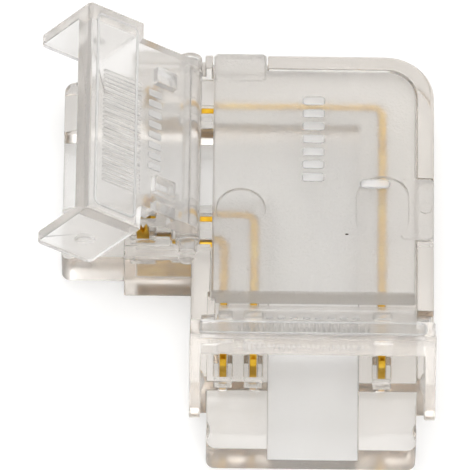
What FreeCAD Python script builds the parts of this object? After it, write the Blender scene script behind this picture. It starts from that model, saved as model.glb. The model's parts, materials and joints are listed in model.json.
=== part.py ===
import FreeCAD, Part

import os
from math import cos, radians, sin

from FreeCAD import Vector

# Corner connector for a flat light strip with three conductors.
# The origin is on the underside, where the centre lines of the two strips cross.
# One leg reaches along -Y and one along -X, and +Z is up. All sizes are in millimetres.
# A leg is drawn along -Y, and the other one is its mirror image in the diagonal.

# Plan of the housing
LEG_WIDTH = 11.9          # outside width of a leg over its side walls
LOWER_REACH = 15.7        # origin to the end of the leg along -Y
LEFT_REACH = 12.35        # origin to the end of the leg along -X
WALL = 0.83               # side wall beside the strip
OUTER_CORNER_RADIUS = 2.4
EDGE_CHAMFER = 0.12       # small bevel on the long top edges
END_CORNER_RADIUS = 0.45  # upright corners of a leg's end

# Heights above the underside
FLOOR_TOP = 0.9           # floor of the channel and seat of the conductors
LOW_TOP = 2.3             # entry step that the strip slides in over
LEAD_IN_DROP = 0.35       # fall of the entry ramp
LEAD_IN_LENGTH = 1.0
DECK_TOP = 2.45           # seat of the cover
RAIL_TOP = 3.1            # the strip lies on the rails
WALL_TOP = 3.6

# Along a leg, measured inwards from its end
STEP_LENGTH = 3.1         # length of the low, narrow entry
HINGE_FROM_END = 6.2      # lid axis
LOWER_COVER_FROM_END = 7.9   # edge of the cover on the long leg
LEFT_COVER_FROM_END = 7.4    # and on the short one
TROUGH_FRONT_GAP = 0.75   # hinge trough in the rails starts this far outside the axis

# Channel between the rails, across a leg: minus is the inner side of the corner
CHANNEL_IN = -2.13
CHANNEL_OUT = 2.29

# Conductors: distance of each blade's middle from the leg's centre line
INNER_POLE = -4.33
MIDDLE_POLE = -2.86
OUTER_POLE = 3.41
BLADE_THICK = 0.35
BLADE_HEIGHT = 1.4
BLADE_BEND_RADIUS = 0.65
BLADE_FROM_END = 3.7      # blade end to leg end
BLADE_SEAT_GAP = 0.02     # play under a blade
SPIKE_LENGTH = 0.62       # width of the spike along the leg
SPIKE_TOP = 4.0
SPIKE_TIP = 0.4           # height of the two points
BLADE_GAP = 0.04          # groove wider than the blade by this on each side
SPIKE_POCKET_SIDE = 0.28  # open pocket round the spike
SPIKE_POCKET_END = 0.3

# Guide on the short leg: a thin roof over the strip's inner edge
GUIDE_WIDTH = 1.3         # from the outside of the wall
GUIDE_THICK = 0.25
GUIDE_HINGE_GAP = 0.1     # guide to hinge trough

# Cover
COVER_GAP = 0.06
COVER_SEAT_GAP = 0.03
COVER_EDGE_BEVEL = 0.1
TAB_THICK = 1.0
TAB_PROUD = 0.1           # the tabs stand this far above the cover
TOP_TAB_LENGTH = 2.6      # tab on the +Y side, along X from the cover's edge
SIDE_TAB_FROM = -4.7      # tab on the +X side, along Y
SIDE_TAB_LENGTH = 3.5
TAB_CORNER_RADIUS = 0.25
TAB_BUMP_RADIUS = 0.3
TAB_BUMP_HEIGHT = 0.08
MARK_DEPTH = 0.16         # shallow recesses in the cover, round ended
INNER_MARK = (-3.55, -3.05, 1.22, 0)      # centre in x and y, radius, and how far it runs along Y
OUTER_MARK = (3.41, -3.55, 1.32, 1.2)

# Lids
PLATE_THICK = 0.95
STRIP_GAP = 0.3           # plate to rails when shut
LIP = 0.85                # the plate passes the leg end by this, for a fingernail
EAR_THICK = 0.55
EAR_DEPTH = 4.2           # plate top to ear bottom
EAR_LENGTH = 3.3          # ears and full width, from the lip
EAR_RADIUS = 0.35
EAR_SIDE_GAP = 0.28       # ear to the narrow entry
HINGE_SIDE_GAP = 0.1      # knuckle to lugs
PLATE_SIDE_GAP = 0.08     # plate to the guide and to the outer wall
LUG_BLOCK_WIDTH = 1.2     # inner hinge block, with the wall
PIN_RADIUS = 0.4
PIN_GAP = 0.05
PIN_LENGTH = 0.62
KNUCKLE_RADIUS = 0.6
LUG_RADIUS = 0.6
HINGE_Z = 3.15
LUG_SLIT = 0.16           # slit between a lug and the rim
LUG_SLIT_DEPTH = 0.75
LOWER_REST_OPEN = 46.5    # each lid stands this far open, in degrees
LEFT_REST_OPEN = 37.0
BUMP_RADIUS = 0.55
BUMP_HEIGHT = 0.2
BUMP_FROM_END = 1.1
BUMP_Z = 1.6
DIMPLE_DEPTH = 0.2
GRIP_FROM = -3.6          # ribs under the plate, first one, across the leg
GRIP_TO = 2.7
GRIP_PITCH = 0.24
GRIP_WIDTH = 0.12
GRIP_DEPTH = 0.14
GRIP_START = 0.45         # ribs start this far from the leg end
GRIP_END = 2.7
SPIKE_RELIEF_SKIN = 0.2   # plate left above a spike's pocket
PLATE_BEVEL = 0.15

# Sizes that follow from those above
HALF = LEG_WIDTH / 2
IN_WALL = HALF - WALL                     # inside face of a side wall
NARROW = HALF - EAR_THICK - EAR_SIDE_GAP  # side of the narrow entry
HINGE_IN = -(HALF - LUG_BLOCK_WIDTH)      # face of the inner hinge block
GUIDE_IN = -(HALF - GUIDE_WIDTH)          # free edge of the guide
EAR_END = EAR_LENGTH - LIP                # where the full width ends, from the leg end
PLATE_LOW = RAIL_TOP + STRIP_GAP
PLATE_TOP = PLATE_LOW + PLATE_THICK
BLADE_TOP = FLOOR_TOP + BLADE_HEIGHT
COVER_SOUTH = -(LOWER_REACH - LOWER_COVER_FROM_END)
COVER_WEST = -(LEFT_REACH - LEFT_COVER_FROM_END)
BED_END = max(LOWER_COVER_FROM_END, LEFT_COVER_FROM_END)   # bed and trough run on to the cover
COVER_OUT = IN_WALL - COVER_GAP
TAB_TOP = WALL_TOP + TAB_PROUD
ABOVE = 3.0                               # cuts run this far past the top of what they open
PAST = 1.0                                # and this far past its sides


def box(x0, x1, y0, y1, z0, z1):
    """A box between two corners, given as the low and high value on each axis."""
    return Part.makeBox(x1 - x0, y1 - y0, z1 - z0, Vector(x0, y0, z0))


def leg_box(reach, v0, v1, d0, d1, z0, z1):
    """A box on the leg along -Y: v is across the leg, and d is inwards from its end."""
    return box(v0, v1, d0 - reach, d1 - reach, z0, z1)


def turn_to_left(shape):
    """The mirror image in the diagonal, which swaps X and Y."""
    return shape.mirror(Vector(0, 0, 0), Vector(1, -1, 0))


def on_both_legs(make):
    """A shape on the leg along -Y and its twin on the leg along -X."""
    return [make(LOWER_REACH), turn_to_left(make(LEFT_REACH))]


def upright_edges(shape, x, y):
    """The edges along Z that stand at one place in plan."""
    found = []
    for edge in shape.Edges:
        ends = [v.Point for v in edge.Vertexes]
        if len(ends) == 2 and all(abs(p.x - x) < 1e-6 and abs(p.y - y) < 1e-6 for p in ends):
            found.append(edge)
    return found


def round_uprights(shape, places):
    """Rounds the upright edges at each (x, y, radius)."""
    for x, y, radius in places:
        shape = shape.makeFillet(radius, upright_edges(shape, x, y))
    return shape


def level_edges(shape, z):
    """The edges that lie at one height."""
    return [e for e in shape.Edges if all(abs(v.Point.z - z) < 1e-6 for v in e.Vertexes)]


def prism(points, z0, z1):
    """An upright prism on a closed outline in plan."""
    corners = [Vector(x, y, z0) for x, y in points]
    face = Part.Face(Part.makePolygon(corners + corners[:1]))
    return face.extrude(Vector(0, 0, z1 - z0))


def slab_along_x(profile, x0, x1):
    """A solid with a closed (y, z) profile, drawn along X."""
    corners = [Vector(x0, y, z) for y, z in profile]
    face = Part.Face(Part.makePolygon(corners + corners[:1]))
    return face.extrude(Vector(x1 - x0, 0, 0))


# Housing

def proud_outline():
    """The walled L in plan, from the inner corner round to the outer one."""
    low = STEP_LENGTH - LOWER_REACH
    left = STEP_LENGTH - LEFT_REACH
    return [(-HALF, -HALF), (-HALF, low), (HALF, low), (HALF, HALF), (left, HALF), (left, -HALF)]


def housing_block():
    """The walled L with its large outer corner and beveled rim, before anything is cut."""
    block = prism(proud_outline(), 0, WALL_TOP)
    block = round_uprights(block, [(HALF, HALF, OUTER_CORNER_RADIUS)])
    return block.makeChamfer(EDGE_CHAMFER, level_edges(block, WALL_TOP))


def entry(reach):
    """The low, narrow end of a leg, with its entry ramp and rounded corners."""
    end = -reach
    join = end + STEP_LENGTH + WALL
    tip = LOW_TOP - LEAD_IN_DROP
    ramp = end + LEAD_IN_LENGTH
    profile = [(end, 0), (join, 0), (join, LOW_TOP), (ramp, LOW_TOP), (end, tip)]
    solid = slab_along_x(profile, -NARROW, NARROW)
    return round_uprights(solid, [(-NARROW, end, END_CORNER_RADIUS), (NARROW, end, END_CORNER_RADIUS)])


def strip_bed(reach):
    """The space above the rails, between the side walls."""
    start = STEP_LENGTH - PAST
    return leg_box(reach, -IN_WALL, IN_WALL, start, BED_END, RAIL_TOP, WALL_TOP + ABOVE)


def guide():
    """The thin roof on the short leg, drawn on the leg along -Y and turned over."""
    end = HINGE_FROM_END - TROUGH_FRONT_GAP - GUIDE_HINGE_GAP
    low = WALL_TOP - GUIDE_THICK
    return turn_to_left(
        leg_box(LEFT_REACH, -IN_WALL - WALL / 2, GUIDE_IN, STEP_LENGTH, end, low, WALL_TOP)
    )


def hinge_trough(reach):
    """The lower stretch of the rails in which the lid's knuckle turns."""
    start = HINGE_FROM_END - TROUGH_FRONT_GAP
    return leg_box(reach, HINGE_IN, IN_WALL, start, BED_END, DECK_TOP, WALL_TOP + ABOVE)


def channel(reach):
    """The open channel between the rails, which runs on under the cover to the other leg's."""
    return box(CHANNEL_IN, CHANNEL_OUT, -reach - PAST, CHANNEL_OUT, FLOOR_TOP, WALL_TOP + ABOVE)


def cover_pocket():
    """The space above the deck that the cover fills, with its rounded outer corner."""
    west, south = COVER_WEST - COVER_GAP, COVER_SOUTH - COVER_GAP
    pocket = box(west, IN_WALL, south, IN_WALL, DECK_TOP, WALL_TOP + ABOVE)
    return round_uprights(pocket, [(IN_WALL, IN_WALL, OUTER_CORNER_RADIUS - WALL)])


def hinge_lug(reach, v0, v1):
    """A block with a round top that holds a hinge pin."""
    y = HINGE_FROM_END - reach
    foot = box(v0, v1, y - LUG_RADIUS, y + LUG_RADIUS, FLOOR_TOP, HINGE_Z)
    head = Part.makeCylinder(LUG_RADIUS, v1 - v0, Vector(v0, y, HINGE_Z), Vector(1, 0, 0))
    return foot.fuse(head)


def inner_lug(reach):
    return hinge_lug(reach, -HALF, HINGE_IN)


def outer_lug(reach):
    return hinge_lug(reach, IN_WALL, HALF)


def lug_clearing(reach):
    """Takes the outer wall away beside the lug, so that the lug stands between two slits."""
    y = HINGE_FROM_END - reach
    half = LUG_RADIUS + LUG_SLIT
    low = WALL_TOP - LUG_SLIT_DEPTH
    return box(IN_WALL - PAST, HALF + PAST, y - half, y + half, low, WALL_TOP + ABOVE)


def pin_hole(reach):
    """Blind holes in both lugs for the lid's pins."""
    y = HINGE_FROM_END - reach
    depth = PIN_LENGTH + PIN_GAP
    start = HINGE_IN - depth
    length = IN_WALL + depth - start
    return Part.makeCylinder(PIN_RADIUS + PIN_GAP, length, Vector(start, y, HINGE_Z), Vector(1, 0, 0))


def cap_of_ball(ball_radius, height, x, y, z, side):
    """A ball that shows only a low cap past the plane x; side is -1 or 1, the way the cap points."""
    depth = (ball_radius**2 + height**2) / (2 * height)
    return Part.makeSphere(depth, Vector(x - side * (depth - height), y, z))


def dimples(reach):
    """The two shallow round hollows in which the ears' bumps rest when the lid is shut."""
    y = BUMP_FROM_END - reach
    return [cap_of_ball(BUMP_RADIUS, DIMPLE_DEPTH, side * NARROW, y, BUMP_Z, -side) for side in (-1, 1)]


def blade_path(pole, side_gap):
    """The L of one blade in plan, as an outline that is side_gap wider on each side."""
    half = BLADE_THICK / 2 + side_gap
    low = BLADE_FROM_END - LOWER_REACH - side_gap
    left = BLADE_FROM_END - LEFT_REACH - side_gap
    near, far = pole - half, pole + half
    return [(near, low), (far, low), (far, far), (left, far), (left, near), (near, near)]


def blade_solid(pole, side_gap, z0, z1):
    """One blade, or the groove for it, with its bend rounded."""
    half = BLADE_THICK / 2 + side_gap
    solid = prism(blade_path(pole, side_gap), z0, z1)
    inside = BLADE_BEND_RADIUS - BLADE_THICK - side_gap
    bends = [(pole + half, pole + half, BLADE_BEND_RADIUS + side_gap), (pole - half, pole - half, inside)]
    return round_uprights(solid, bends)


def spike_pocket(reach, pole):
    """The open pocket in the rail that leaves the spike bare."""
    half = BLADE_THICK / 2 + SPIKE_POCKET_SIDE
    d0 = BLADE_FROM_END - SPIKE_POCKET_END
    d1 = BLADE_FROM_END + SPIKE_LENGTH + SPIKE_POCKET_END
    return leg_box(reach, pole - half, pole + half, d0, d1, LOW_TOP, WALL_TOP + ABOVE)


def tabs(gap, out):
    """The cover's two tabs as boxes that reach out over the rim, or with a gap their notches."""
    inner = IN_WALL - WALL
    low, high = TAB_TOP - TAB_THICK - gap, TAB_TOP + gap
    spans = [(COVER_WEST, TOP_TAB_LENGTH), (SIDE_TAB_FROM, SIDE_TAB_LENGTH)]
    (x0, x1), (y0, y1) = [(start - gap, start + length + gap) for start, length in spans]
    return [box(x0, x1, inner, out, low, high), box(inner, out, y0, y1, low, high)]


POLES = (INNER_POLE, MIDDLE_POLE, OUTER_POLE)


def base_housing():
    body = housing_block()
    for solid in on_both_legs(entry):
        body = body.fuse(solid)
    cuts = [cover_pocket()] + on_both_legs(strip_bed) + on_both_legs(lug_clearing)
    body = body.cut(cuts)
    body = body.fuse(on_both_legs(inner_lug) + on_both_legs(outer_lug) + [guide()])
    cuts = on_both_legs(hinge_trough) + on_both_legs(channel) + on_both_legs(pin_hole)
    cuts += [blade_solid(pole, BLADE_GAP, FLOOR_TOP, WALL_TOP + ABOVE) for pole in POLES]
    for pole in POLES:
        cuts += on_both_legs(lambda reach: spike_pocket(reach, pole))
    cuts += tabs(COVER_GAP, HALF + WALL)
    cuts += dimples(LOWER_REACH) + [turn_to_left(s) for s in dimples(LEFT_REACH)]
    return body.cut(cuts).removeSplitter()


# Cover

def round_ended(x, y, radius, run, z0):
    """A tall upright solid on a round ended outline that runs along Y."""
    solid = Part.makeCylinder(radius, ABOVE, Vector(x, y, z0))
    if run:
        solid = solid.fuse([
            Part.makeCylinder(radius, ABOVE, Vector(x, y + run, z0)),
            box(x - radius, x + radius, y, y + run, z0, z0 + ABOVE),
        ])
    return solid


def finished_tab(tab):
    """A tab with its corners rounded in plan and its top edge beveled."""
    size = tab.BoundBox
    corners = [(x, y, TAB_CORNER_RADIUS) for x in (size.XMin, size.XMax) for y in (size.YMin, size.YMax)]
    tab = round_uprights(tab, corners)
    return tab.makeChamfer(COVER_EDGE_BEVEL, level_edges(tab, TAB_TOP))


def centre_cover():
    """The plate that closes the corner, with its two tabs and two shallow marks."""
    low = DECK_TOP + COVER_SEAT_GAP
    plate = box(COVER_WEST, COVER_OUT, COVER_SOUTH, COVER_OUT, low, WALL_TOP)
    plate = round_uprights(plate, [(COVER_OUT, COVER_OUT, OUTER_CORNER_RADIUS - WALL - COVER_GAP)])
    plate = plate.makeChamfer(COVER_EDGE_BEVEL, level_edges(plate, WALL_TOP))
    plate = plate.fuse([finished_tab(tab) for tab in tabs(0, HALF)])
    for x, y, radius, run in (INNER_MARK, OUTER_MARK):
        plate = plate.cut(round_ended(x, y, radius, run, WALL_TOP - MARK_DEPTH))
    y = SIDE_TAB_FROM + SIDE_TAB_LENGTH / 2
    bump = Part.makeCylinder(TAB_BUMP_RADIUS, TAB_BUMP_HEIGHT, Vector(HALF - WALL / 2, y, TAB_TOP))
    return plate.fuse(bump).removeSplitter()


# Conductors

def spike(reach, pole):
    """The upright spike at a blade's end, with two points."""
    y0 = BLADE_FROM_END - reach
    y1 = y0 + SPIKE_LENGTH
    middle = (y0 + y1) / 2
    valley = SPIKE_TOP - SPIKE_TIP
    low = BLADE_TOP - BLADE_HEIGHT / 2
    quarter = SPIKE_LENGTH / 4
    profile = [
        (y0, low), (y1, low), (y1, valley), (y1 - quarter, SPIKE_TOP),
        (middle, valley), (y0 + quarter, SPIKE_TOP), (y0, valley),
    ]
    return slab_along_x(profile, pole - BLADE_THICK / 2, pole + BLADE_THICK / 2)


def conductor(pole):
    blade = blade_solid(pole, 0, FLOOR_TOP + BLADE_SEAT_GAP, BLADE_TOP)
    spikes = on_both_legs(lambda reach: spike(reach, pole))
    return blade.fuse(spikes).removeSplitter()


# Lids

def edges_at(shape, y, z):
    """The edges along X that lie at one y and one height."""
    return [e for e in level_edges(shape, z) if all(abs(v.Point.y - y) < 1e-6 for v in e.Vertexes)]


def lid_plate(reach):
    """The wide front of the plate with its beveled lip, and the narrower part that runs to the hinge."""
    front = leg_box(reach, -HALF, HALF, -LIP, EAR_END, PLATE_LOW, PLATE_TOP)
    front = front.makeChamfer(PLATE_BEVEL, edges_at(front, -LIP - reach, PLATE_TOP))
    inner, outer = GUIDE_IN + PLATE_SIDE_GAP, IN_WALL - PLATE_SIDE_GAP
    back = leg_box(reach, inner, outer, EAR_END - WALL, HINGE_FROM_END, PLATE_LOW, PLATE_TOP)
    back = back.makeFillet(KNUCKLE_RADIUS, edges_at(back, HINGE_FROM_END - reach, PLATE_TOP))
    return [front, back]


def lid_hinge(reach):
    """The round knuckle under the plate's back edge, and the pins at its two ends."""
    rod = []
    for radius, v0, v1 in (
        (KNUCKLE_RADIUS, HINGE_IN + HINGE_SIDE_GAP, IN_WALL - HINGE_SIDE_GAP),
        (PIN_RADIUS, HINGE_IN - PIN_LENGTH, IN_WALL + PIN_LENGTH),
    ):
        start = Vector(v0, HINGE_FROM_END - reach, HINGE_Z)
        rod.append(Part.makeCylinder(radius, v1 - v0, start, Vector(1, 0, 0)))
    return rod


def lid_ear(reach, side):
    """One ear with rounded lower corners, and the low round bump on its inner face."""
    inner, outer = side * (HALF - EAR_THICK), side * HALF
    v0, v1 = sorted((inner, outer))
    low = PLATE_TOP - EAR_DEPTH
    ear = leg_box(reach, v0, v1, -LIP, EAR_END, low, PLATE_TOP - PLATE_THICK / 2)
    corners = [
        e for e in level_edges(ear, low)
        if abs(e.Vertexes[0].Point.y - e.Vertexes[-1].Point.y) < 1e-6
    ]
    ear = ear.makeFillet(EAR_RADIUS, corners)
    ball = cap_of_ball(BUMP_RADIUS, BUMP_HEIGHT, inner, BUMP_FROM_END - reach, BUMP_Z, -side)
    v0, v1 = sorted((inner + side * EAR_THICK / 2, inner - side * EAR_THICK))
    return [ear, ball.common(leg_box(reach, v0, v1, -LIP, EAR_END, low, PLATE_LOW))]


def grip_ribs(reach):
    """Fine ribs under the plate, along the strip."""
    count = int((GRIP_TO - GRIP_FROM) / GRIP_PITCH) + 1
    low, high = PLATE_LOW - GRIP_DEPTH, PLATE_LOW + GRIP_DEPTH
    starts = [GRIP_FROM + i * GRIP_PITCH for i in range(count)]
    return [leg_box(reach, v, v + GRIP_WIDTH, GRIP_START, GRIP_END, low, high) for v in starts]


def spike_relief(reach, pole):
    """The blind pocket under the plate that takes a spike when the lid is shut."""
    half = BLADE_THICK / 2 + SPIKE_POCKET_SIDE
    d0 = BLADE_FROM_END - SPIKE_POCKET_END
    d1 = BLADE_FROM_END + SPIKE_LENGTH + SPIKE_POCKET_END
    low, high = PLATE_LOW - GRIP_DEPTH, PLATE_TOP - SPIKE_RELIEF_SKIN
    return leg_box(reach, pole - half, pole + half, d0, d1, low, high)


def shut_lid(reach):
    """One lid as it lies when shut on the leg along -Y."""
    front, *rest = lid_plate(reach) + lid_hinge(reach) + grip_ribs(reach)
    for side in (-1, 1):
        rest += lid_ear(reach, side)
    lid = front.fuse(rest)
    return lid.cut([spike_relief(reach, pole) for pole in POLES]).removeSplitter()


def open_lid(reach, angle):
    """The lid turned open about its pins, on the leg along -Y."""
    lid = shut_lid(reach)
    lid.rotate(Vector(0, HINGE_FROM_END - reach, HINGE_Z), Vector(-1, 0, 0), angle)
    return lid


nodes = {
    "base_housing": base_housing(),
    "centre_cover": centre_cover(),
    "outer_conductor": conductor(OUTER_POLE),
    "middle_conductor": conductor(MIDDLE_POLE),
    "inner_conductor": conductor(INNER_POLE),
    "left_lid": turn_to_left(open_lid(LEFT_REACH, LEFT_REST_OPEN)),
    "lower_lid": open_lid(LOWER_REACH, LOWER_REST_OPEN),
}

os.makedirs("parts", exist_ok=True)
for name, shape in nodes.items():
    if len(shape.Solids) != 1 or not shape.isValid():
        raise RuntimeError(f"{name}: {len(shape.Solids)} solids, valid {shape.isValid()}")
    solid = shape.Solids[0]
    solid.exportStep(f"parts/{name}.step")
    size = solid.BoundBox
    print(f"{name}: {solid.Volume:.3f} mm3, {size.XLength:.2f} x {size.YLength:.2f} x {size.ZLength:.2f}")
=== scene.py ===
import json
import math

import bmesh
import bpy
import numpy as np
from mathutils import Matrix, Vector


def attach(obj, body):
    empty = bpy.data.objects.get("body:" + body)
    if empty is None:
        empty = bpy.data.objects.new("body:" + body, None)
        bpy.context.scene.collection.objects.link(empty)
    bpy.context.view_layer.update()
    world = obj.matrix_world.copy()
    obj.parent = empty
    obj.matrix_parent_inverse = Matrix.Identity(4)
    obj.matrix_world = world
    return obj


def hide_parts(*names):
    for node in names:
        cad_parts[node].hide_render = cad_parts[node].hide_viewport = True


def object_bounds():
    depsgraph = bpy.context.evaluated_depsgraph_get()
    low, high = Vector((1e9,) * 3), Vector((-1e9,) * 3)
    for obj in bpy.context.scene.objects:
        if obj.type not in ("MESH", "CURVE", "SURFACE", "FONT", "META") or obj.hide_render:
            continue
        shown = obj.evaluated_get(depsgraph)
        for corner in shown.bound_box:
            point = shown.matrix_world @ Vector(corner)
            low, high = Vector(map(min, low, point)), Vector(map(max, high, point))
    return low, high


bl_info = {
    "name": "Strip Corner Connector",
    "version": (1, 0, 0),
    "blender": (4, 5, 0),
    "location": "View3D > Sidebar > Connector",
    "description": "Dresses the clear corner connector and sets its studio",
    "category": "Object",
}

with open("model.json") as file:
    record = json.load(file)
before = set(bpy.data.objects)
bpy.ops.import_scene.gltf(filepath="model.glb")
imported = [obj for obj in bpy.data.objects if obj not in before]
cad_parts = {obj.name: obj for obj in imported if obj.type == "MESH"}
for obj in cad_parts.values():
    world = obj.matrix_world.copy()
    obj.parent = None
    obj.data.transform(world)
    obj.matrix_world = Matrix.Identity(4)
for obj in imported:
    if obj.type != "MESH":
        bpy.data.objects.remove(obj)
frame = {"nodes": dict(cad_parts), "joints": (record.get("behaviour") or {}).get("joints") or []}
CAD_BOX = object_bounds()

MM = 0.001
SHARP_ANGLE = math.radians(40)   # an edge that turns more than this is a real corner
WELD = 0.0015 * MM               # loose triangle corners nearer than this are one
FLAT = math.radians(0.6)         # faces that turn less than this are one flat face
RUN_ON = math.cos(math.radians(50))   # corners that bend less than 50 degrees are one run
LEVELS = (1.0, 0.3, 0.0)         # shares of the rounding that a run of corners can get
KEEP_CLEAR = 0.8                 # the roundings at an edge's ends take at most this much of it
MOST_SHIFT = 3                   # a face's corner moves at most this many radii along an edge
MOST_ROUNDS = 40                 # how often the shares are gone over
IN_LINE = 1e-3                   # two edges with a smaller sine between them are in line
SEGMENTS = 2                     # flats across a rounded corner
LOOKS_UP = 0.99                  # least height of the normal of a face that looks up

JOINTS = {joint["name"]: joint for joint in frame["joints"]}
UP = np.array([0.0, 0.0, 1.0])
LIDS = {"left_lid": "left_lid_hinge", "lower_lid": "lower_lid_hinge"}

# Raised bars on the cover, in a row along Y: middle of the row, and a bar's half width and length
COVER_ROW = (0.0 * MM, 1.05 * MM)
COVER_BARS, COVER_BAR_PITCH = 7, 0.74 * MM
COVER_BAR = (0.55 * MM, 0.24 * MM)

# One bar across the outer conductor's track on the cover: its middle, half width and length, and
# how many times as high as the other marks it stands
TRACK_BAR_PLACE = (3.05 * MM, -1.5 * MM)
TRACK_BAR = (0.75 * MM, 0.24 * MM)
TRACK_BAR_RISE = 2

# Raised bars on a lid, across the strip: how far from the hinge, and a bar's half width and length
LID_ROW = 3.0 * MM
LID_BARS, LID_BAR_PITCH = 8, 0.6 * MM
LID_BAR = (0.19 * MM, 0.4 * MM)

# Raised frame on a lid's outer face: distance from its edges, half length, corners and bead
FRAME_INSET = 0.5 * MM
FRAME_HALF_LENGTH = 1.2 * MM
FRAME_CORNER = 0.3 * MM
FRAME_BEAD = 0.08 * MM

# Dark fleck in the cover: its place, and half sizes
FLECK_PLACE = (1.67 * MM, -4.42 * MM)
FLECK_SIZE = (0.1 * MM, 0.05 * MM, 0.03 * MM)

# How round the bars and the fleck are, from 0 for a block to 1 for an oval ball
BAR_ROUNDNESS, TRACK_BAR_ROUNDNESS, FLECK_ROUNDNESS = 0.35, 0.5, 1.0

# Steps of those surfaces: round a pillow and up its side, and round the frame and its bead
PILLOW_STEPS = (24, 9)
BEAD_STEPS = (64, 12)

# Polycarbonate: how it bends light, and the tan that its depth adds, with its density per metre
PLASTIC_IOR = 1.585
PLASTIC_TAN, PLASTIC_TAN_DENSITY = "#e6c48c", 50.0
GRAIN_SHARE = 0.4                # the grain's relief beside that of the slow ripples
SMOOTHEST = 0.7                  # the smoothest places' share of the greatest roughness
NOISE_SPAN = (0.3, 0.7)          # nearly all values of a noise texture lie between these

# The floor: half its side, its gap below the object, and its glow where it is seen
FLOOR_HALF, FLOOR_GAP, FLOOR_GLOW = 0.6, 0.01 * MM, 0.41

# The surround's strength as a light, and where it is seen
SURROUND_LIGHT, SURROUND_SEEN = 0.95, 1.0

# Each lamp's place in metres, its power in watts and its side in metres
LAMPS = {
    "key_lamp": ((-0.04, 0.05, 0.42), 0.75, 0.3),
    "fill_lamp": ((0.08, -0.3, 0.2), 0.4, 0.2),
}

# Most turns of one path of light: clear walls, one behind the other, need many
BOUNCES = {
    "max_bounces": 24,
    "transmission_bounces": 24,
    "glossy_bounces": 12,
    "transparent_max_bounces": 16,
}


# Small helpers

def linear(code):
    """An sRGB hex colour as linear red, green and blue with full alpha."""
    parts = [int(code[i:i + 2], 16) / 255 for i in (1, 3, 5)]
    colour = [c / 12.92 if c <= 0.04045 else ((c + 0.055) / 1.055) ** 2.4 for c in parts]
    return (*colour, 1.0)


def add_node(tree, kind, inputs=None, **settings):
    """Adds one node. An input is a socket to link from or a value to set."""
    made = tree.nodes.new(kind)
    for name, value in settings.items():
        setattr(made, name, value)
    for name, value in (inputs or {}).items():
        socket = made.inputs[name]
        if isinstance(value, bpy.types.NodeSocket):
            tree.links.new(value, socket)
        else:
            socket.default_value = value
    return made


def empty_material(name):
    """A new node material with nothing in it."""
    material = bpy.data.materials.new(name)
    material.use_nodes = True
    material.node_tree.nodes.clear()
    return material


def shades(tree, factor, stops):
    """A colour ramp over (position, hex colour) stops."""
    ramp = add_node(tree, "ShaderNodeValToRGB", {"Fac": factor})
    points = ramp.color_ramp.elements
    while len(points) < len(stops):
        points.new(0.5)
    for point, (position, code) in zip(points, stops):
        point.position = position
        point.color = linear(code)
    return ramp.outputs["Color"]


def link_object(name, mesh):
    """Puts a mesh into the scene as an object at the origin."""
    made = bpy.data.objects.new(name, mesh)
    bpy.context.scene.collection.objects.link(made)
    return made


def mesh_of_grids(name, grids, closed_rows=False):
    """One mesh of many like grids. grids has the shape (copies, rows, columns, 3), in metres.

    Each grid is a surface of two parameters: the row is one and the column the other. The last
    column joins the first. With closed_rows the last row joins the first as well, and otherwise
    the first and the last row are each drawn to a point."""
    copies, rows, columns, _ = grids.shape
    row_pairs = rows if closed_rows else rows - 1
    r, c = np.meshgrid(np.arange(row_pairs), np.arange(columns), indexing="ij")
    here, there = r * columns, (r + 1) % rows * columns
    c1 = (c + 1) % columns
    quad = np.stack([here + c, here + c1, there + c1, there + c], axis=-1)
    quads = quad.reshape(1, -1, 4) + np.arange(copies).reshape(-1, 1, 1) * rows * columns
    mesh = bpy.data.meshes.new(name)
    mesh.from_pydata(grids.reshape(-1, 3), [], quads.reshape(-1, 4))
    work = bmesh.new()
    work.from_mesh(mesh)
    bmesh.ops.remove_doubles(work, verts=work.verts, dist=WELD)
    bmesh.ops.recalc_face_normals(work, faces=work.faces)
    work.to_mesh(mesh)
    work.free()
    mesh.shade_smooth()
    return mesh


def give(piece, body, material):
    """Finishes a piece: its material and the body it rides on."""
    piece.data.materials.clear()
    piece.data.materials.append(material)
    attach(piece, body)


# Moulded and stamped pieces: the frame's form with softened edges

def runs_of_corners(corners):
    """Groups the corners that run on into each other nearly straight, as lists of edges."""
    leader = {edge.index: edge.index for edge in corners}

    def lead(index):
        while leader[index] != index:
            index = leader[index]
        return index

    for edge in corners:
        for vertex in edge.verts:
            along = (edge.other_vert(vertex).co - vertex.co).normalized()
            for other in vertex.link_edges:
                onward = (other.other_vert(vertex).co - vertex.co).normalized()
                if other.index in leader and along.dot(onward) < -RUN_ON:
                    leader[lead(edge.index)] = lead(other.index)
    runs = {}
    for edge in corners:
        runs.setdefault(lead(edge.index), []).append(edge)
    return list(runs.values())


def shift_along(own, other, loop):
    """How far a face's corner moves along an edge when both edges that meet there are rounded.

    With the angle inside the face it is (other + own cos angle) / sin angle, where own is that
    edge's rounding and other is the rounding of the edge that it meets."""
    angle = loop.calc_angle() if loop.is_convex else 2 * math.pi - loop.calc_angle()
    if abs(math.sin(angle)) < IN_LINE:
        return 0.0 if own == other else math.inf
    return (other + own * math.cos(angle)) / math.sin(angle)


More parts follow.
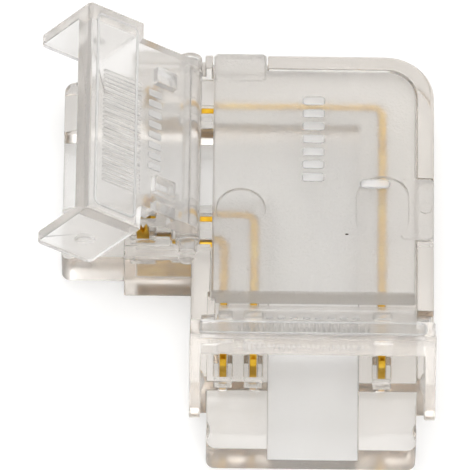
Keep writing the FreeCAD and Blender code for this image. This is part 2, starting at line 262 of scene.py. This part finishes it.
def share_rounding(work, corners, radius):
    """The share of the rounding for each corner, as a dictionary by edge index.

    All the corners of a run get one share, so that the rounding doesn't jump. A run starts with
    the whole radius. Where the roundings at both ends of a face's edge would use that edge up, or
    would move its end too far, the shortest of the most rounded runs there goes one level down.
    That is gone over until nothing goes down any more."""
    runs = runs_of_corners(corners)
    run_of = {edge.index: number for number, run in enumerate(runs) for edge in run}
    lengths = [sum(edge.calc_length() for edge in run) for run in runs]
    level = [0] * len(runs)

    def rounding(edge):
        return radius * LEVELS[level[run_of[edge.index]]] if edge.index in run_of else 0.0

    for _ in range(MOST_ROUNDS):
        crowded = set()
        for face in work.faces:
            for loop in face.loops:
                before, after = loop.link_loop_prev.edge, loop.link_loop_next.edge
                own = rounding(loop.edge)
                start = shift_along(own, rounding(before), loop)
                end = shift_along(own, rounding(after), loop.link_loop_next)
                room = KEEP_CLEAR * loop.edge.calc_length()
                if start + end > room or max(abs(start), abs(end)) > MOST_SHIFT * radius:
                    edges = [e.index for e in (before, loop.edge, after)]
                    near = {run_of[index] for index in edges if index in run_of}
                    near = [n for n in near if level[n] < len(LEVELS) - 1]
                    crowded.update(sorted(near, key=lambda n: (level[n], lengths[n]))[:1])
        if not crowded:
            break
        for number in crowded:
            level[number] += 1
    return {index: LEVELS[level[number]] for index, number in run_of.items()}


def softened(node, name, radius):
    """A closed copy of a node's form, its corners rounded as a mould or a press leaves them."""
    mesh = frame["nodes"][node].data.copy()
    mesh.name = name
    work = bmesh.new()
    work.from_mesh(mesh)
    bmesh.ops.remove_doubles(work, verts=work.verts, dist=WELD)
    bmesh.ops.dissolve_limit(
        work, angle_limit=FLAT, use_dissolve_boundaries=False, verts=work.verts, edges=work.edges,
    )
    weights = work.edges.layers.float.new("bevel_weight_edge")
    work.edges.index_update()
    corners = [
        edge for edge in work.edges
        if len(edge.link_faces) == 2 and edge.calc_face_angle(0) > SHARP_ANGLE
    ]
    shares = share_rounding(work, corners, radius)
    for edge in corners:
        edge[weights] = shares[edge.index]
    work.to_mesh(mesh)
    work.free()
    mesh.shade_smooth()
    mesh.set_sharp_from_angle(angle=SHARP_ANGLE)
    piece = link_object(name, mesh)
    bevel = piece.modifiers.new("rounded_corners", "BEVEL")
    bevel.width = radius
    bevel.segments = SEGMENTS
    bevel.limit_method = "WEIGHT"
    bevel.use_clamp_overlap = False
    flats = piece.modifiers.new("flat_faces_stay_flat", "WEIGHTED_NORMAL")
    flats.weight = 100
    flats.keep_sharp = True
    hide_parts(node)
    return piece


# Places read from the frame

def corners_of(node):
    """The corners of a node's form as an array, in metres."""
    mesh = frame["nodes"][node].data
    flat = np.empty(len(mesh.vertices) * 3)
    mesh.vertices.foreach_get("co", flat)
    return flat.reshape(-1, 3)


def widest_top(node):
    """The height of the largest flat that looks up on a node."""
    mesh = frame["nodes"][node].data
    tops = [(round(f.center.z, 5), f.area) for f in mesh.polygons if f.normal.z > LOOKS_UP]
    heights, which = np.unique([z for z, _ in tops], return_inverse=True)
    return heights[np.bincount(which, weights=[area for _, area in tops]).argmax()]


def lid_place(node, joint):
    """A lid's hinge, its own directions, and how far its form reaches along each from the hinge.

    The directions are the hinge's axis, the way from the hinge to the free edge, and out of the
    outer face. The lid stands open by the angle from its shut limit to its rest."""
    hinge = np.array(JOINTS[joint]["pos_m"], dtype=float)
    axis = np.array(JOINTS[joint]["axis"], dtype=float)
    opened = -math.radians(JOINTS[joint]["range_deg"][0])
    level = np.cross(UP, axis)
    along = level * math.cos(opened) + UP * math.sin(opened)
    out = UP * math.cos(opened) - level * math.sin(opened)
    axes = np.array([axis, along, out])
    return hinge, axes, ((corners_of(node) - hinge) @ axes.T).max(axis=0)


# Raised marks: surfaces of two parameters

def signed_power(values, power):
    """Each value's size raised to a power, with its sign kept."""
    return np.sign(values) * np.abs(values) ** power


def pillows(centres, half_sizes, axes, roundness):
    """Grids of like pillows, one at each centre, for mesh_of_grids.

    With u round the pillow and v from its bottom to its top, a point lies from the centre by
    a (cos v)^e (cos u)^e along the first axis, b (cos v)^e (sin u)^e along the second and
    c (sin v)^e along the third, where a power keeps the sign. An e of 1 is an oval ball, and a
    small e is nearly a block."""
    u = np.linspace(0, 2 * np.pi, PILLOW_STEPS[0], endpoint=False)[None, :]
    v = np.linspace(-np.pi / 2, np.pi / 2, PILLOW_STEPS[1])[:, None]
    ring = signed_power(np.cos(v), roundness)
    first = ring * signed_power(np.cos(u), roundness)
    second = ring * signed_power(np.sin(u), roundness)
    third = signed_power(np.sin(v), roundness) + 0 * u
    local = np.stack([first, second, third], axis=-1) * np.asarray(half_sizes)
    return np.asarray(centres)[:, None, None, :] + local @ np.asarray(axes)


def bead_round(centre, axes, half_sizes, corner, radius, height):
    """The grid of one low bead laid round a rectangle with round corners, for mesh_of_grids.

    With t round the rectangle, the bead's middle is sgn(cos t), sgn(sin t) times the half sizes
    less the corner's radius, plus (cos t, sin t) times that radius. With s round the section, the
    surface lies from there by radius cos s along (cos t, sin t) and by height sin s outwards."""
    t = ((np.arange(BEAD_STEPS[0]) + 0.5) / BEAD_STEPS[0] * 2 * np.pi)[:, None]
    s = np.linspace(0, 2 * np.pi, BEAD_STEPS[1], endpoint=False)[None, :]
    reach = corner + radius * np.cos(s)
    first = np.sign(np.cos(t)) * (half_sizes[0] - corner) + reach * np.cos(t)
    second = np.sign(np.sin(t)) * (half_sizes[1] - corner) + reach * np.sin(t)
    third = height * np.sin(s) + 0 * t
    local = np.stack([first, second, third], axis=-1)
    return (np.asarray(centre) + local @ np.asarray(axes))[None]


def row_of(centre, step, count):
    """Centres in a straight row, an equal step apart and even about its middle."""
    places = np.arange(count) - (count - 1) / 2
    return np.asarray(centre) + places[:, None] * np.asarray(step)


# Materials

def clear_polycarbonate(name, tint, shade, ripple_mm, haze, milk, grain_mm=0.14, relief_mm=0.007):
    """Clear polycarbonate, injection moulded against a polished or a finely eroded steel cavity.

    The eye gets a soft gloss, a faint tan in the thick places, slow ripples where the melt
    flowed, a haze that softens what lies behind it, and a share of milky white on top."""
    material = empty_material(name)
    tree = material.node_tree
    place = add_node(tree, "ShaderNodeTexCoord").outputs["Object"]
    slow = add_node(
        tree, "ShaderNodeTexNoise", {"Vector": place, "Scale": 1 / (ripple_mm * MM), "Detail": 3.0}
    ).outputs["Fac"]
    # The real grain is near 0.02 mm. It is drawn about 7 times as coarse, so that it shows.
    grain = add_node(
        tree, "ShaderNodeTexNoise", {"Vector": place, "Scale": 1 / (grain_mm * MM), "Detail": 3.0}
    ).outputs["Fac"]
    colour = shades(tree, slow, [(0.35, shade), (0.65, tint)])
    rough = add_node(
        tree, "ShaderNodeMapRange",
        {
            "Value": slow, "From Min": NOISE_SPAN[0], "From Max": NOISE_SPAN[1],
            "To Min": haze * SMOOTHEST, "To Max": haze,
        },
    ).outputs["Result"]
    mixed = add_node(
        tree, "ShaderNodeMath", {0: grain, 1: GRAIN_SHARE, 2: slow}, operation="MULTIPLY_ADD"
    ).outputs["Value"]
    bump = add_node(
        tree, "ShaderNodeBump", {"Height": mixed, "Strength": 1.0, "Distance": relief_mm * MM}
    ).outputs["Normal"]
    surface = add_node(
        tree, "ShaderNodeBsdfPrincipled",
        {
            "Base Color": colour, "Roughness": rough, "Normal": bump,
            "IOR": PLASTIC_IOR, "Transmission Weight": 1.0 - milk,
        },
    )
    body = add_node(
        tree, "ShaderNodeVolumeAbsorption",
        {"Color": linear(PLASTIC_TAN), "Density": PLASTIC_TAN_DENSITY},
    )
    add_node(
        tree, "ShaderNodeOutputMaterial",
        {"Surface": surface.outputs["BSDF"], "Volume": body.outputs["Volume"]},
    )
    return material


def stamped_brass(name):
    """Brass sheet, rolled and stamped, with a bright bare finish.

    The eye gets a warm yellow metal with fine lines along the rolling and a slight dulling."""
    material = empty_material(name)
    tree = material.node_tree
    place = add_node(tree, "ShaderNodeTexCoord").outputs["Object"]
    cloud = add_node(
        tree, "ShaderNodeTexNoise", {"Vector": place, "Scale": 1 / (0.9 * MM), "Detail": 4.0}
    ).outputs["Fac"]
    # Rolling lines are near 0.01 mm apart and are drawn at 0.08 mm, so that they show.
    stretched = add_node(
        tree, "ShaderNodeMapping", {"Vector": place, "Scale": (1.0, 1.0, 12.0)}
    ).outputs["Vector"]
    lines = add_node(
        tree, "ShaderNodeTexNoise", {"Vector": stretched, "Scale": 1 / (0.9 * MM), "Detail": 3.0}
    ).outputs["Fac"]
    colour = shades(tree, cloud, [(0.3, "#ae8420"), (0.55, "#d0a636"), (0.75, "#e2c25e")])
    rough = add_node(
        tree, "ShaderNodeMapRange", {"Value": lines, "To Min": 0.18, "To Max": 0.42}
    ).outputs["Result"]
    bump = add_node(
        tree, "ShaderNodeBump", {"Height": lines, "Strength": 0.4, "Distance": 0.01 * MM}
    ).outputs["Normal"]
    surface = add_node(
        tree, "ShaderNodeBsdfPrincipled",
        {"Base Color": colour, "Metallic": 1.0, "Roughness": rough, "Normal": bump},
    )
    add_node(tree, "ShaderNodeOutputMaterial", {"Surface": surface.outputs["BSDF"]})
    return material


def burnt_fleck(name):
    """A fleck of scorched plastic in the melt.

    The eye gets an almost black, slightly mottled brown."""
    material = empty_material(name)
    tree = material.node_tree
    place = add_node(tree, "ShaderNodeTexCoord").outputs["Object"]
    mottle = add_node(
        tree, "ShaderNodeTexNoise", {"Vector": place, "Scale": 1 / (0.05 * MM), "Detail": 2.0}
    ).outputs["Fac"]
    colour = shades(tree, mottle, [(0.3, "#2a1d14"), (0.7, "#4a382a")])
    surface = add_node(tree, "ShaderNodeBsdfPrincipled", {"Base Color": colour, "Roughness": 0.5})
    add_node(tree, "ShaderNodeOutputMaterial", {"Surface": surface.outputs["BSDF"]})
    return material


# Settings

def length(name, default, description):
    """A setting that is a length, with digits down to a micrometre."""
    return bpy.props.FloatProperty(
        name=name, description=description, default=default, unit="LENGTH", precision=6,
    )


def share(name, default, description):
    """A setting between 0 and 1."""
    return bpy.props.FloatProperty(
        name=name, description=description, default=default, min=0.0, max=1.0, subtype="FACTOR",
    )


class ConnectorFinish(bpy.types.PropertyGroup):
    """What a user would change on the connector's own pieces."""

    mould_radius: length("Moulded edge", 0.06 * MM, "Rounding of the plastic's corners")
    press_radius: length("Stamped edge", 0.04 * MM, "Rounding of the brass's corners")
    haze: share("Haze", 0.19, "Greatest roughness of the housing and lids")
    cover_haze: share("Cover haze", 0.42, "Greatest roughness of the finely eroded cover")
    housing_milk: share("Housing milk", 0.07, "Share of the housing's surface that is milky white")
    cover_milk: share("Cover milk", 0.09, "Share of the cover's surface that is milky white")
    lid_milk: share("Lid milk", 0.14, "Share of the lids' surface that is milky white")
    mark_milk: share("Mark milk", 0.32, "Share of the marks' surface that is milky white")
    mark_height: length("Mark height", 0.05 * MM, "How far the marks stand above their face")


class ConnectorStudio(bpy.types.PropertyGroup):
    """What a user would change on the stage."""

    elevation: bpy.props.FloatProperty(
        name="Camera height", description="Angle of the camera above the floor",
        default=math.radians(58.8), subtype="ANGLE",
    )
    distance: length("Camera distance", 0.5, "From the camera to the point it looks at")
    view_width: length("View width", 23.26 * MM, "Width of what the camera sees at the object")
    roll: bpy.props.FloatProperty(
        name="Camera roll", description="Turn of the camera about its own view",
        default=math.radians(0.7), subtype="ANGLE",
    )
    target: bpy.props.FloatVectorProperty(
        name="Target", description="Point at the middle of the picture",
        default=(-3.82 * MM, -2.36 * MM, 0.0), subtype="TRANSLATION", precision=6,
    )


# Operators

class ClearHousing(bpy.types.Operator):
    """Dresses the L-shaped housing"""

    bl_idname = "connector.clear_housing"
    bl_label = "Clear housing"

    def execute(self, context):
        look = context.scene.connector_finish
        piece = softened("base_housing", "housing_moulding", look.mould_radius)
        plastic = clear_polycarbonate(
            "polycarbonate_moulded_housing", "#fcfcfc", "#f9f9f8", 2.6,
            look.haze, look.housing_milk,
        )
        give(piece, "housing", plastic)
        return {"FINISHED"}


class ClearCover(bpy.types.Operator):
    """Dresses the cover over the corner"""

    bl_idname = "connector.clear_cover"
    bl_label = "Clear cover"

    def execute(self, context):
        look = context.scene.connector_finish
        piece = softened("centre_cover", "cover_moulding", look.mould_radius)
        plastic = clear_polycarbonate(
            "polycarbonate_moulded_cover", "#ffffff", "#fdfdfc", 3.4,
            look.cover_haze, look.cover_milk, grain_mm=0.13, relief_mm=0.09,
        )
        give(piece, "housing", plastic)
        return {"FINISHED"}


class ClearLids(bpy.types.Operator):
    """Dresses the two flip-up lids"""

    bl_idname = "connector.clear_lids"
    bl_label = "Clear lids"

    def execute(self, context):
        look = context.scene.connector_finish
        plastic = clear_polycarbonate(
            "polycarbonate_moulded_lids", "#fdfdfd", "#fafafa", 2.0, look.haze, look.lid_milk,
        )
        for node in LIDS:
            piece = softened(node, f"{node}_moulding", look.mould_radius)
            give(piece, node, plastic)
        return {"FINISHED"}


class RaisedMarks(bpy.types.Operator):
    """Adds the low raised bars and frames that the moulds leave on the cover and the lids"""

    bl_idname = "connector.raised_marks"
    bl_label = "Raised marks"

    def execute(self, context):
        look = context.scene.connector_finish
        height = look.mark_height
        plastic = clear_polycarbonate(
            "polycarbonate_raised_marks", "#fdfdfd", "#f9f9f9", 0.8, look.haze, look.mark_milk,
        )

        def add(name, body, grids, closed_rows=False):
            """Makes one piece of the grids, which rides on the body."""
            give(link_object(name, mesh_of_grids(name, grids, closed_rows)), body, plastic)

        level = np.eye(3)
        top = widest_top("centre_cover")
        centres = row_of((*COVER_ROW, top), (0, COVER_BAR_PITCH, 0), COVER_BARS)
        add("cover_bars", "housing", pillows(centres, (*COVER_BAR, height), level, BAR_ROUNDNESS))
        size = (*TRACK_BAR, TRACK_BAR_RISE * height)
        bar = pillows([(*TRACK_BAR_PLACE, top)], size, level, TRACK_BAR_ROUNDNESS)
        add("track_bar", "housing", bar)
        for node, joint in LIDS.items():
            hinge, axes, reach = lid_place(node, joint)
            face = hinge + reach[2] * axes[2]
            centres = row_of(face + LID_ROW * axes[1], LID_BAR_PITCH * axes[0], LID_BARS)
            add(f"{node}_bars", node, pillows(centres, (*LID_BAR, height), axes, BAR_ROUNDNESS))
            half = (reach[0] - FRAME_INSET, FRAME_HALF_LENGTH)
            middle = face + (reach[1] - FRAME_INSET - half[1]) * axes[1]
            bead = bead_round(middle, axes, half, FRAME_CORNER, FRAME_BEAD, height)
            add(f"{node}_frame", node, bead, closed_rows=True)
        return {"FINISHED"}


class Fleck(bpy.types.Operator):
    """Adds the dark fleck in the cover's face"""

    bl_idname = "connector.fleck"
    bl_label = "Dark fleck"

    def execute(self, context):
        centre = [(*FLECK_PLACE, widest_top("centre_cover") - FLECK_SIZE[2] / 2)]
        grids = pillows(centre, FLECK_SIZE, np.eye(3), FLECK_ROUNDNESS)
        mesh = mesh_of_grids("burnt_fleck", grids)
        give(link_object("burnt_fleck", mesh), "housing", burnt_fleck("burnt_fleck_in_melt"))
        return {"FINISHED"}


class BrassConductors(bpy.types.Operator):
    """Dresses the three stamped conductors"""

    bl_idname = "connector.brass_conductors"
    bl_label = "Brass conductors"

    def execute(self, context):
        look = context.scene.connector_finish
        brass = stamped_brass("brass_rolled_and_stamped")
        for node in ("outer_conductor", "middle_conductor", "inner_conductor"):
            piece = softened(node, f"{node}_stamping", look.press_radius)
            give(piece, "housing", brass)
        return {"FINISHED"}


class Studio(bpy.types.Operator):
    """Sets the floor, the lamps, the world and the camera"""

    bl_idname = "connector.studio"
    bl_label = "Studio"

    def execute(self, context):
        scene = context.scene
        studio = scene.connector_studio
        make_floor()
        make_lamps()
        make_world(scene)
        make_camera(scene, studio)
        scene.view_settings.view_transform = "Standard"
        for name, count in BOUNCES.items():
            setattr(scene.cycles, name, count)
        return {"FINISHED"}


def seen_directly(tree):
    """1 for rays of the camera, of reflections and of clear material, and 0 for other light."""
    rays = add_node(tree, "ShaderNodeLightPath").outputs
    seen = rays["Is Camera Ray"]
    for kind in ("Is Glossy Ray", "Is Transmission Ray"):
        seen = add_node(
            tree, "ShaderNodeMath", {0: seen, 1: rays[kind]}, operation="MAXIMUM"
        ).outputs["Value"]
    return seen


def make_floor():
    """A plain pale floor, white where it is seen, that keeps a soft shadow."""
    corners = np.array([(-1, -1), (1, -1), (1, 1), (-1, 1)]) * FLOOR_HALF
    heights = np.full((4, 1), CAD_BOX[0].z - FLOOR_GAP)
    mesh = bpy.data.meshes.new("floor")
    mesh.from_pydata(np.hstack([corners, heights]), [], [(0, 1, 2, 3)])
    floor = link_object("floor", mesh)
    material = empty_material("matt_white_card")
    tree = material.node_tree
    paper = add_node(tree, "ShaderNodeBsdfDiffuse", {"Color": linear("#d8d8d8")})
    glow = add_node(
        tree, "ShaderNodeEmission", {"Color": linear("#ffffff"), "Strength": FLOOR_GLOW}
    )
    both = add_node(
        tree, "ShaderNodeAddShader", {0: paper.outputs["BSDF"], 1: glow.outputs["Emission"]}
    )
    mix = add_node(
        tree, "ShaderNodeMixShader",
        {"Fac": seen_directly(tree), 1: paper.outputs["BSDF"], 2: both.outputs["Shader"]},
    )
    add_node(tree, "ShaderNodeOutputMaterial", {"Surface": mix.outputs["Shader"]})
    floor.data.materials.append(material)


def make_lamps():
    """A broad soft lamp almost overhead, and a weaker, lower one in front and to the right."""
    for name, (place, power, size) in LAMPS.items():
        data = bpy.data.lights.new(name, "AREA")
        data.energy = power
        data.size = size
        lamp = bpy.data.objects.new(name, data)
        bpy.context.scene.collection.objects.link(lamp)
        lamp.location = place
        lamp.rotation_euler = lamp.location.to_track_quat("Z", "Y").to_euler()


def make_world(scene):
    """An even pale surround, white where the camera, a reflection or clear plastic looks at it."""
    world = bpy.data.worlds.new("pale_surround")
    scene.world = world
    world.use_nodes = True
    tree = world.node_tree
    tree.nodes.clear()
    soft, white = (
        add_node(
            tree, "ShaderNodeBackground", {"Color": linear(code), "Strength": strength}
        ).outputs["Background"]
        for code, strength in (("#d9d7d4", SURROUND_LIGHT), ("#ffffff", SURROUND_SEEN))
    )
    mix = add_node(
        tree, "ShaderNodeMixShader", {"Fac": seen_directly(tree), 1: soft, 2: white}
    )
    add_node(tree, "ShaderNodeOutputWorld", {"Surface": mix.outputs["Shader"]})


def make_camera(scene, studio):
    """A long lens at the photograph's angle. It looks along +Y and down."""
    data = bpy.data.cameras.new("camera")
    data.sensor_width = 36.0
    data.lens = data.sensor_width / 2 / (studio.view_width / 2 / studio.distance)
    data.clip_start, data.clip_end = 0.01, 10.0
    camera = bpy.data.objects.new("camera", data)
    scene.collection.objects.link(camera)
    e = studio.elevation
    back = np.array([0.0, -math.cos(e), math.sin(e)])
    camera.location = np.array(studio.target) + back * studio.distance
    camera.rotation_euler = (math.pi / 2 - e, 0.0, 0.0)
    camera.rotation_mode = "XYZ"
    camera.rotation_euler.rotate_axis("Z", studio.roll)
    scene.camera = camera


class ConnectorPanel(bpy.types.Panel):
    """Lists the pieces and the stage"""

    bl_idname = "VIEW3D_PT_connector"
    bl_label = "Corner connector"
    bl_space_type = "VIEW_3D"
    bl_region_type = "UI"
    bl_category = "Connector"

    def draw(self, context):
        for group in GROUPS:
            settings = getattr(context.scene, group)
            for name in settings.bl_rna.properties.keys():
                if name not in ("rna_type", "name"):
                    self.layout.prop(settings, name)
        for operator in OPERATORS:
            self.layout.operator(operator.bl_idname)


OPERATORS = (ClearHousing, ClearCover, ClearLids, RaisedMarks, Fleck, BrassConductors, Studio)
GROUPS = {"connector_finish": ConnectorFinish, "connector_studio": ConnectorStudio}


def register():
    for kind in (*GROUPS.values(), *OPERATORS, ConnectorPanel):
        bpy.utils.register_class(kind)
    for name, kind in GROUPS.items():
        setattr(bpy.types.Scene, name, bpy.props.PointerProperty(type=kind))


def unregister():
    for name in GROUPS:
        delattr(bpy.types.Scene, name)
    for kind in (ConnectorPanel, *reversed(OPERATORS), *GROUPS.values()):
        bpy.utils.unregister_class(kind)


def main():
    register()
    bpy.ops.connector.clear_housing()
    bpy.ops.connector.clear_cover()
    bpy.ops.connector.clear_lids()
    bpy.ops.connector.raised_marks()
    bpy.ops.connector.fleck()
    bpy.ops.connector.brass_conductors()
    bpy.ops.connector.studio()


if __name__ == "__main__":
    main()
